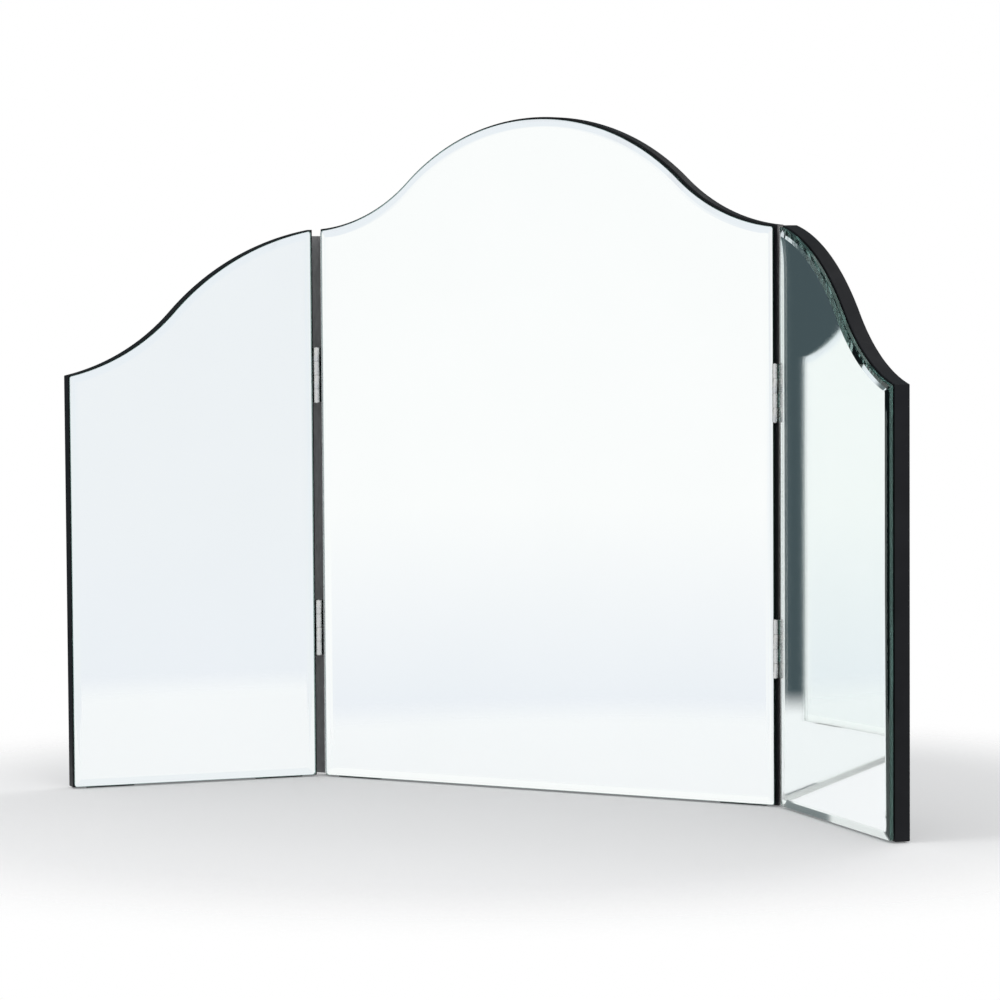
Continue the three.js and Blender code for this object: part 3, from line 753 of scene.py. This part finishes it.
def hinge_leaf_tree():
    """The node tree of a leaf: the given knuckle repeated up the pin, added to the given plate."""
    tree, given = started_tree(
        "hinge_leaf", ("Geometry", "Geometry"), ("Int", "Knuckles"),
        ("Float", "First Bottom", "Knuckle Spacing"), ("Object", "Plate"), ("Material", "Plating"))
    start = add_node(tree, "ShaderNodeCombineXYZ", {"Z": given["First Bottom"]})
    spacing = add_node(tree, "ShaderNodeCombineXYZ", {"Z": given["Knuckle Spacing"]})
    row = add_node(tree, "GeometryNodeMeshLine", {
        "Count": given["Knuckles"], "Start Location": start.outputs[0], "Offset": spacing.outputs[0]})
    knuckles = add_node(tree, "GeometryNodeInstanceOnPoints", {
        "Points": row.outputs["Mesh"], "Instance": given["Geometry"]})
    plate = add_node(tree, "GeometryNodeObjectInfo", {"Object": given["Plate"]})
    union = add_node(tree, "GeometryNodeMeshBoolean", operation="UNION", solver="EXACT")
    tree.links.new(plate.outputs["Geometry"], union.inputs["Mesh 2"])
    tree.links.new(knuckles.outputs[0], union.inputs["Mesh 2"])
    end_tree(tree, union.outputs["Mesh"], given["Plating"])
    return tree


def leaf_plate():
    """The flat of a leaf, drilled and countersunk for its screws."""
    low = (LEAF_FACE, KNUCKLE_ROOM, 0.0)
    high = (LEAF_FACE + LEAF_THICKNESS, LEAF_REACH, HINGE_LENGTH)
    plate = as_mesh(solid_box(low, high), "leaf_plate")
    mouth = SCREW_HEAD_RADIUS + COUNTERSINK_GAP
    neck = SCREW_RADIUS + COUNTERSINK_GAP
    flare = mouth - neck
    cutters = []
    for height in screw_heights:
        middle = (LEAF_FACE + LEAF_THICKNESS / 2, SCREW_SETBACK, height)
        cutters.append(sideways_cone(middle, mouth + flare, neck - flare, 3 * LEAF_THICKNESS,
                                     COUNTERSINK_SIDES))
    return cut_out(plate, joined(cutters, "cutters"))


leaf_tree = hinge_leaf_tree()
knuckle = as_mesh(pulled_up(knuckle_section(), knuckle_length), "knuckle")
plate_object = in_scene("leaf_plate", leaf_plate())
leaf_meshes = {}
for owner, first in (("centre", 0), ("wing", 1)):
    knuckle_step = knuckle_length + KNUCKLE_GAP
    leaf_mesh = grown(leaf_tree, {
        "Knuckles": KNUCKLE_COUNT // 2,
        "First Bottom": first * knuckle_step,
        "Knuckle Spacing": 2 * knuckle_step,
        "Plate": plate_object,
        "Plating": nickel,
    }, knuckle)
    leaf_mesh = applied(leaf_mesh, "BEVEL", width=LEAF_EDGE_ROUNDING, segments=2, limit_method="ANGLE",
                        angle_limit=EDGE_ANGLE)
    leaf_meshes[owner] = shaded(leaf_mesh, LEAF_CREASE)
bpy.data.objects.remove(plate_object)


def placed(mesh, sign, pin_x, bottom, place):
    """A copy of a hinge piece at its pin. The piece is drawn for a board on the +X side."""
    copy = mesh.copy()
    shift = Matrix.Translation((pin_x, 0, bottom))
    if sign < 0:
        copy.transform(place @ shift @ Matrix.Scale(-1, 4, (1, 0, 0)))
        copy.flip_normals()
    else:
        copy.transform(place @ shift)
    return copy


centre_pin_x = centre_board_half + PIN_TO_BOARD
leaf_spots = []
for side, sign in SIDES.items():
    for level, bottom in hinge_bottoms(side).items():
        hinge = f"{level}_{side}_hinge"
        leaf_spots.append((hinge, "centre", "centre", -sign, sign * centre_pin_x, bottom))
        leaf_spots.append((hinge, "wing", side, sign, 0.0, bottom))
for hinge, owner, panel, sign, pin_x, bottom in leaf_spots:
    leaf = placed(leaf_meshes[owner], sign, pin_x, bottom, places[panel])
    show(f"{hinge}_{owner}_rolled_leaf", leaf, BODIES[panel], [f"{hinge}_{owner}_leaf"])


# A steel pin joins the two leaves of a hinge. It is nickel-plated turned wire with a low domed head
# at each end, which keeps it in the knuckles.
PIN_RADIUS = 0.001
PIN_HEAD_RADIUS = 0.0016
PIN_HEAD_THICKNESS = 0.0005
PIN_SIDES = 32
DOME_STEPS = 5
TURNED_CREASE = math.radians(35)


def turned(profile, sides, ridge=None):
    """A closed solid turned about Z. The profile runs from the axis back to the axis."""
    form = bmesh.new()
    rows = []
    for radius, height in profile:
        if radius == 0:
            rows.append([form.verts.new((0, 0, height))])
            continue
        row = []
        for index in range(sides):
            angle = 2 * math.pi * index / sides
            reach = radius + (ridge(angle, height) if ridge else 0.0)
            row.append(form.verts.new((reach * math.cos(angle), reach * math.sin(angle), height)))
        rows.append(row)
    for lower, upper in zip(rows, rows[1:]):
        for index in range(sides):
            after = (index + 1) % sides
            ring = [lower[index % len(lower)], lower[after % len(lower)],
                    upper[after % len(upper)], upper[index % len(upper)]]
            form.faces.new(list(dict.fromkeys(ring)))
    return form


head_foot = HINGE_LENGTH / 2 + KNUCKLE_GAP
dome = []
for step in range(DOME_STEPS + 1):
    angle = math.pi / 2 * step / DOME_STEPS
    dome.append((PIN_HEAD_RADIUS * math.cos(angle), head_foot + PIN_HEAD_THICKNESS * math.sin(angle)))
dome[-1] = (0, dome[-1][1])
half_pin = [(PIN_RADIUS, head_foot)] + dome
pin_profile = [(radius, -height) for radius, height in reversed(half_pin)] + half_pin
pin_mesh = as_mesh(turned(pin_profile, PIN_SIDES), "pin")
pin_mesh.materials.append(nickel)
pin_mesh = shaded(pin_mesh, TURNED_CREASE)
for side, sign in SIDES.items():
    for level, bottom in hinge_bottoms(side).items():
        middle = bottom + HINGE_LENGTH / 2
        pin = placed(pin_mesh, 1, sign * centre_pin_x, middle, places["centre"])
        show(f"{level}_{side}_domed_pin", pin, BODIES["centre"],
             [f"{level}_{side}_hinge_pin"])


# Two countersunk screws hold each leaf to the edge of its board. They are nickel-plated, with a
# cross recess, a turned face and a coarse thread that tapers to a point in the fibreboard.
SCREW_LENGTH = 0.014
SCREW_TIP_LENGTH = 0.0025
SCREW_TIP_ROWS = 6
SCREW_HEAD_EASING = 0.0001
SCREW_SIDES = 24
THREAD_PITCH = 0.0009
THREAD_DEPTH = 0.00025
THREAD_STEPS = 4
CROSS_LENGTH = 0.0024
CROSS_WIDTH = 0.00055
CROSS_DEPTH = 0.0007
CROSS_TAPER = 0.55
TURNING_RIPPLE = 0.000003
screw_plate, screw_tree = new_finish("screw_nickel", Metallic=1.0)
turning = grain(screw_tree, scale=1200.0, detail=2.0, stretch=(0.1, 1.0, 1.0))
feed(screw_tree,
     Base_Color=blend_colours(screw_tree, spread(screw_tree, turning, 0.0, 1.0), *NICKEL_COLOURS),
     Roughness=spread(screw_tree, grain(screw_tree, scale=500.0, detail=2.0), 0.24, 0.38),
     Normal=relief(screw_tree, turning, TURNING_RIPPLE))


def thread(angle, depth):
    """How far the thread dips below its crest."""
    turn = (-depth / THREAD_PITCH - angle / (2 * math.pi)) % 1.0
    started = min(1.0, max(0.0, (-depth - LEAF_THICKNESS) / THREAD_PITCH))
    return -THREAD_DEPTH * abs(2 * turn - 1) * started


def screw_mesh():
    """A screw that points down from its face at Z = 0."""
    taper_start = SCREW_LENGTH - SCREW_TIP_LENGTH
    profile = [(0, 0), (SCREW_HEAD_RADIUS - SCREW_HEAD_EASING, 0),
               (SCREW_HEAD_RADIUS, -SCREW_HEAD_EASING)]
    threaded = taper_start - LEAF_THICKNESS
    rows = int(threaded / THREAD_PITCH * THREAD_STEPS)
    profile += [(SCREW_RADIUS, -LEAF_THICKNESS - threaded * row / rows) for row in range(rows + 1)]
    for row in range(1, SCREW_TIP_ROWS):
        share = row / SCREW_TIP_ROWS
        radius = THREAD_DEPTH + (SCREW_RADIUS - THREAD_DEPTH) * (1 - share)
        profile.append((radius, -taper_start - SCREW_TIP_LENGTH * share))
    profile.append((0, -SCREW_LENGTH))
    screw = as_mesh(turned(profile, SCREW_SIDES, thread), "screw")
    arms = []
    for angle in (0.0, math.pi / 2):
        arm = solid_box((-CROSS_LENGTH / 2, -CROSS_WIDTH / 2, -CROSS_DEPTH),
                        (CROSS_LENGTH / 2, CROSS_WIDTH / 2, CROSS_DEPTH))
        deep = [vert for vert in arm.verts if vert.co.z < 0]
        bmesh.ops.scale(arm, vec=(CROSS_TAPER, CROSS_TAPER, 1), verts=deep)
        bmesh.ops.rotate(arm, matrix=Matrix.Rotation(angle, 3, "Z"), verts=arm.verts)
        arms.append(as_mesh(arm, "arm"))
    screw = cut_out(screw, joined(arms, "cross"))
    return shaded(screw, TURNED_CREASE)


def screw_row_tree():
    """The node tree of a leaf's screws: the given screw at even steps up the leaf."""
    tree, given = started_tree(
        "screw_row", ("Geometry", "Geometry"), ("Int", "Screws"),
        ("Float", "Face", "Setback", "First Height", "Spacing", "Cross Turn"), ("Int", "Seed"),
        ("Material", "Plating"))
    start = add_node(tree, "ShaderNodeCombineXYZ", {
        "X": given["Face"], "Y": given["Setback"], "Z": given["First Height"]})
    spacing = add_node(tree, "ShaderNodeCombineXYZ", {"Z": given["Spacing"]})
    row = add_node(tree, "GeometryNodeMeshLine", {
        "Count": given["Screws"], "Start Location": start.outputs[0], "Offset": spacing.outputs[0]})
    chance = add_node(tree, "FunctionNodeRandomValue", {
        "Max": given["Cross Turn"], "Seed": given["Seed"]}, data_type="FLOAT").outputs[1]
    turn = add_node(tree, "ShaderNodeCombineXYZ", {"Z": chance})
    laid = add_node(tree, "FunctionNodeEulerToRotation", {"Euler": (0.0, -math.pi / 2, 0.0)})
    about = add_node(tree, "FunctionNodeEulerToRotation", {"Euler": turn.outputs[0]})
    both = add_node(tree, "FunctionNodeRotateRotation", {
        "Rotation": laid.outputs[0], "Rotate By": about.outputs[0]}, rotation_space="LOCAL")
    screws = add_node(tree, "GeometryNodeInstanceOnPoints", {
        "Points": row.outputs["Mesh"], "Instance": given["Geometry"], "Rotation": both.outputs[0]})
    end_tree(tree, screws.outputs[0], given["Plating"])
    return tree


one_screw = screw_mesh()
row_tree = screw_row_tree()
for panel, body in BODIES.items():
    rows = []
    nodes = []
    for number, (hinge, owner, leaf_panel, sign, pin_x, bottom) in enumerate(leaf_spots):
        if leaf_panel != panel:
            continue
        row = grown(row_tree, {
            "Screws": SCREWS_PER_LEAF,
            "Face": LEAF_FACE,
            "Setback": SCREW_SETBACK,
            "First Height": screw_heights[0],
            "Spacing": screw_spacing,
            "Cross Turn": math.pi / 2,
            "Seed": number,
            "Plating": screw_plate,
        }, one_screw)
        rows.append(placed(row, sign, pin_x, bottom, places[panel]))
        nodes += [f"{hinge}_{owner}_screw_{index + 1}" for index in range(SCREWS_PER_LEAF)]
    show(f"{panel}_panel_hinge_screws", joined(rows, "screws"), body, nodes)


# A cover strip closes each joint from behind. It is dark grey vulcanised fibre, 0.8 mm thick, glued
# into the rebate in the centre board's back. Its free half stops the wing when it is opened flat.
# Its grey is painted shade: it fills the view through the left joint with grey, where there is shade.
STRIP_EASING = 0.0002
FIBRE_PAINTED_SHADE_COLOURS = ((0.236, 0.240, 0.246), (0.306, 0.310, 0.318))
FIBRE_MOTTLE_DEPTH = 0.00002
# Painted shade: this grey is what shows through the left joint, in place of shade.
painted_shade_fibre, painted_shade_fibre_tree = new_finish("fibre_painted_shade", Specular_IOR_Level=0.25)
blotches = grain(painted_shade_fibre_tree, scale=500.0, detail=5.0, stretch=(1.0, 1.0, 0.3))
mottling = spread(painted_shade_fibre_tree, blotches, 0.0, 1.0)
feed(painted_shade_fibre_tree,
     Base_Color=blend_colours(painted_shade_fibre_tree, mottling, *FIBRE_PAINTED_SHADE_COLOURS),
     Roughness=spread(painted_shade_fibre_tree, grain(painted_shade_fibre_tree, scale=90.0, detail=3.0), 0.65, 0.8),
     Normal=relief(painted_shade_fibre_tree, mottling, FIBRE_MOTTLE_DEPTH))
for side in SIDES:
    name = f"{side}_joint_cover_strip"
    strip = eased_copy(frame["nodes"][name], painted_shade_fibre, STRIP_EASING, segments=2)
    show(f"{side}_fibre_strip", strip, BODIES["centre"], [name])


# Felt pads are glued under the boards, two for each panel. They are punched from black wool felt,
# soft at the edges and a little uneven.
PAD_SOFTNESS = 0.00035
FELT_COLOURS = ((0.012, 0.012, 0.013), (0.030, 0.030, 0.032))
FELT_FIBRE = 0.00012
felt, felt_tree = new_finish("black_felt", Roughness=1.0, Specular_IOR_Level=0.1, Sheen_Weight=0.5,
                             Sheen_Roughness=0.6)
fibres = spread(felt_tree, grain(felt_tree, scale=2200.0, detail=5.0), 0.0, 1.0)
feed(felt_tree,
     Base_Color=blend_colours(felt_tree, fibres, *FELT_COLOURS),
     Normal=relief(felt_tree, fibres, FELT_FIBRE))
for name, node in frame["nodes"].items():
    if not name.endswith("pad"):
        continue
    pad = eased_copy(node, felt, PAD_SOFTNESS, segments=3)
    show(f"{name}_felt", pad, node["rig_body"], [name])


# The mirror stands on a plain pale floor that runs out into white, in soft even studio light. The
# panes see a white studio, a little bluer at the front right and below, and unlit at the back left.
# Light turns many times between facing panes, so a ray may turn up to LIGHT_TURNS times.
FLOOR_RADIUS = 0.66
FLOOR_FADE_START = 0.40
FLOOR_SIDES = 96
FLOOR_COLOUR = (0.90, 0.905, 0.91)
FLOOR_WHITE = (0.965, 0.975, 0.99)
MIRRORED_WHITENING = 0.92
SEEN_WHITENING = 0.2
AMBIENT = 0.62
LIGHT_TURNS = 40
STUDIO_WHITE = (1.0, 1.0, 1.0)
STUDIO_PALE = (0.885, 0.905, 0.935)
STUDIO_LOW = (0.865, 0.890, 0.940)
LOW_FROM, LOW_TO = -0.062, -0.112
STUDIO_DARK = (0.062, 0.088, 0.098)
PALE_FROM, PALE_TO = 300.0, 350.0
DARK_FROM, DARK_TO = 100.0, 209.0
ZONE_EDGE = 3.0

form = bmesh.new()
bmesh.ops.create_circle(form, cap_ends=True, radius=FLOOR_RADIUS, segments=FLOOR_SIDES)
floor = in_scene("floor", as_mesh(form, "floor"))
floor_finish, floor_tree = new_finish("pale_floor", Base_Color=(*FLOOR_COLOUR, 1.0), Roughness=0.8,
                                      Specular_IOR_Level=0.0)
spot = add_node(floor_tree, "ShaderNodeTexCoord").outputs["Object"]
distance = add_node(floor_tree, "ShaderNodeVectorMath", {0: spot}, operation="LENGTH").outputs["Value"]
away = add_node(floor_tree, "ShaderNodeMapRange", {
    "Value": distance, "From Min": FLOOR_FADE_START, "From Max": FLOOR_RADIUS,
    "To Min": 0.0, "To Max": 1.0}, interpolation_type="SMOOTHSTEP").outputs[0]
floor_rays = add_node(floor_tree, "ShaderNodeLightPath").outputs
mirrored = calculate(floor_tree, "MAXIMUM", floor_rays["Is Glossy Ray"],
                     floor_rays["Is Transmission Ray"])
mirrored_white = calculate(floor_tree, "MULTIPLY", mirrored, MIRRORED_WHITENING)
seen_white = calculate(floor_tree, "MULTIPLY", floor_rays["Is Camera Ray"], SEEN_WHITENING)
whitening = calculate(floor_tree, "MAXIMUM", mirrored_white, seen_white)
white = add_node(floor_tree, "ShaderNodeEmission", {"Color": (*FLOOR_WHITE, 1.0)})
lit_floor = add_node(floor_tree, "ShaderNodeMixShader", {
    0: whitening, 1: floor_tree.nodes["Principled BSDF"].outputs[0], 2: white.outputs[0]})
clear = add_node(floor_tree, "ShaderNodeBsdfTransparent")
fade = add_node(floor_tree, "ShaderNodeMixShader", {
    0: away, 1: lit_floor.outputs[0], 2: clear.outputs[0]})
floor_tree.links.new(fade.outputs[0], floor_tree.nodes["Material Output"].inputs["Surface"])
floor.data.materials.append(floor_finish)

world = bpy.data.worlds.new("studio")
bpy.context.scene.world = world
world.use_nodes = True
sky = world.node_tree
background = sky.nodes["Background"]
direction = add_node(sky, "ShaderNodeSeparateXYZ", {
    0: add_node(sky, "ShaderNodeTexCoord").outputs["Generated"]}).outputs
bearing = calculate(sky, "ARCTAN2", direction["Y"], direction["X"])
turned_round = calculate(sky, "ADD", calculate(sky, "DEGREES", bearing), 360.0)
degrees = calculate(sky, "MODULO", turned_round, 360.0)


def zone(start, end):
    """1 between two bearings and 0 outside them, with soft edges."""
    values = []
    for edge_at, way in ((start, 1.0), (end, -1.0)):
        low = edge_at - ZONE_EDGE / 2
        high = edge_at + ZONE_EDGE / 2
        ends = (0.0, 1.0) if way > 0 else (1.0, 0.0)
        values.append(add_node(sky, "ShaderNodeMapRange", {
            "Value": degrees, "From Min": low, "From Max": high, "To Min": ends[0],
            "To Max": ends[1]}, interpolation_type="SMOOTHSTEP").outputs[0])
    return calculate(sky, "MULTIPLY", *values)


def layered(under, over, factor):
    """One studio colour over another."""
    node = add_node(sky, "ShaderNodeMix", {"Factor": factor}, data_type="RGBA")
    for socket, colour in (("A", under), ("B", over)):
        if isinstance(colour, bpy.types.NodeSocket):
            sky.links.new(colour, node.inputs[socket])
        else:
            node.inputs[socket].default_value = (*colour, 1.0)
    return node.outputs["Result"]


rays = add_node(sky, "ShaderNodeLightPath").outputs
studio = layered(STUDIO_WHITE, STUDIO_PALE, zone(PALE_FROM, PALE_TO))
below = add_node(sky, "ShaderNodeMapRange", {
    "Value": direction["Z"], "From Min": LOW_FROM, "From Max": LOW_TO, "To Min": 0.0,
    "To Max": 1.0}).outputs[0]
studio = layered(studio, STUDIO_LOW, below)
studio = layered(studio, STUDIO_DARK, zone(DARK_FROM, DARK_TO))
reflected = calculate(sky, "MAXIMUM", rays["Is Glossy Ray"], rays["Is Transmission Ray"])
seen = layered((AMBIENT, AMBIENT, AMBIENT), studio, reflected)
seen = layered(seen, STUDIO_WHITE, rays["Is Camera Ray"])
sky.links.new(seen, background.inputs["Color"])

LAMPS = (
    ("key_lamp", (-1.5, -1.9, 2.3), 1.6, 24.0),
    ("fill_lamp", (1.9, -1.5, 1.7), 1.6, 12.0),
    ("back_lamp", (0.4, 1.7, 2.3), 1.4, 12.0),
)
lamp_target = Vector((0.0, 0.0, 0.25))
for name, spot, size, power in LAMPS:
    light = bpy.data.lights.new(name, "AREA")
    light.shape = "DISK"
    light.size = size
    light.energy = power
    lamp = in_scene(name, light)
    lamp.location = spot
    lamp.rotation_euler = (lamp_target - Vector(spot)).to_track_quat("-Z", "Y").to_euler()
    lamp.visible_glossy = False
    lamp.visible_transmission = False


# The camera stands 3.2 m away to the right, a little below the top of the centre panel, and looks
# slightly down, as in the photograph.
CAMERA_PLACE = (1.590047, -2.782833, 0.433512)
CAMERA_YAW = math.radians(29.846)
CAMERA_PITCH = math.radians(3.482)
CAMERA_ROLL = math.radians(-0.380)
SENSOR_WIDTH = 36.0
FOCAL_LENGTH = 147.908
ahead = Vector((-math.sin(CAMERA_YAW) * math.cos(CAMERA_PITCH),
                math.cos(CAMERA_YAW) * math.cos(CAMERA_PITCH), -math.sin(CAMERA_PITCH)))
level = Vector((math.cos(CAMERA_YAW), math.sin(CAMERA_YAW), 0.0))
upward = level.cross(ahead)
right = level * math.cos(CAMERA_ROLL) + upward * math.sin(CAMERA_ROLL)
top = upward * math.cos(CAMERA_ROLL) - level * math.sin(CAMERA_ROLL)
lens = bpy.data.cameras.new("camera")
lens.sensor_width = SENSOR_WIDTH
lens.lens = FOCAL_LENGTH
camera = in_scene("camera", lens)
turn = Matrix((right, top, -ahead)).transposed().to_4x4()
camera.matrix_world = Matrix.Translation(CAMERA_PLACE) @ turn
bpy.context.scene.camera = camera
bpy.context.scene.view_settings.view_transform = "Standard"
bpy.context.scene.cycles.max_bounces = LIGHT_TURNS
bpy.context.scene.cycles.glossy_bounces = LIGHT_TURNS
bpy.context.scene.cycles.transmission_bounces = LIGHT_TURNS
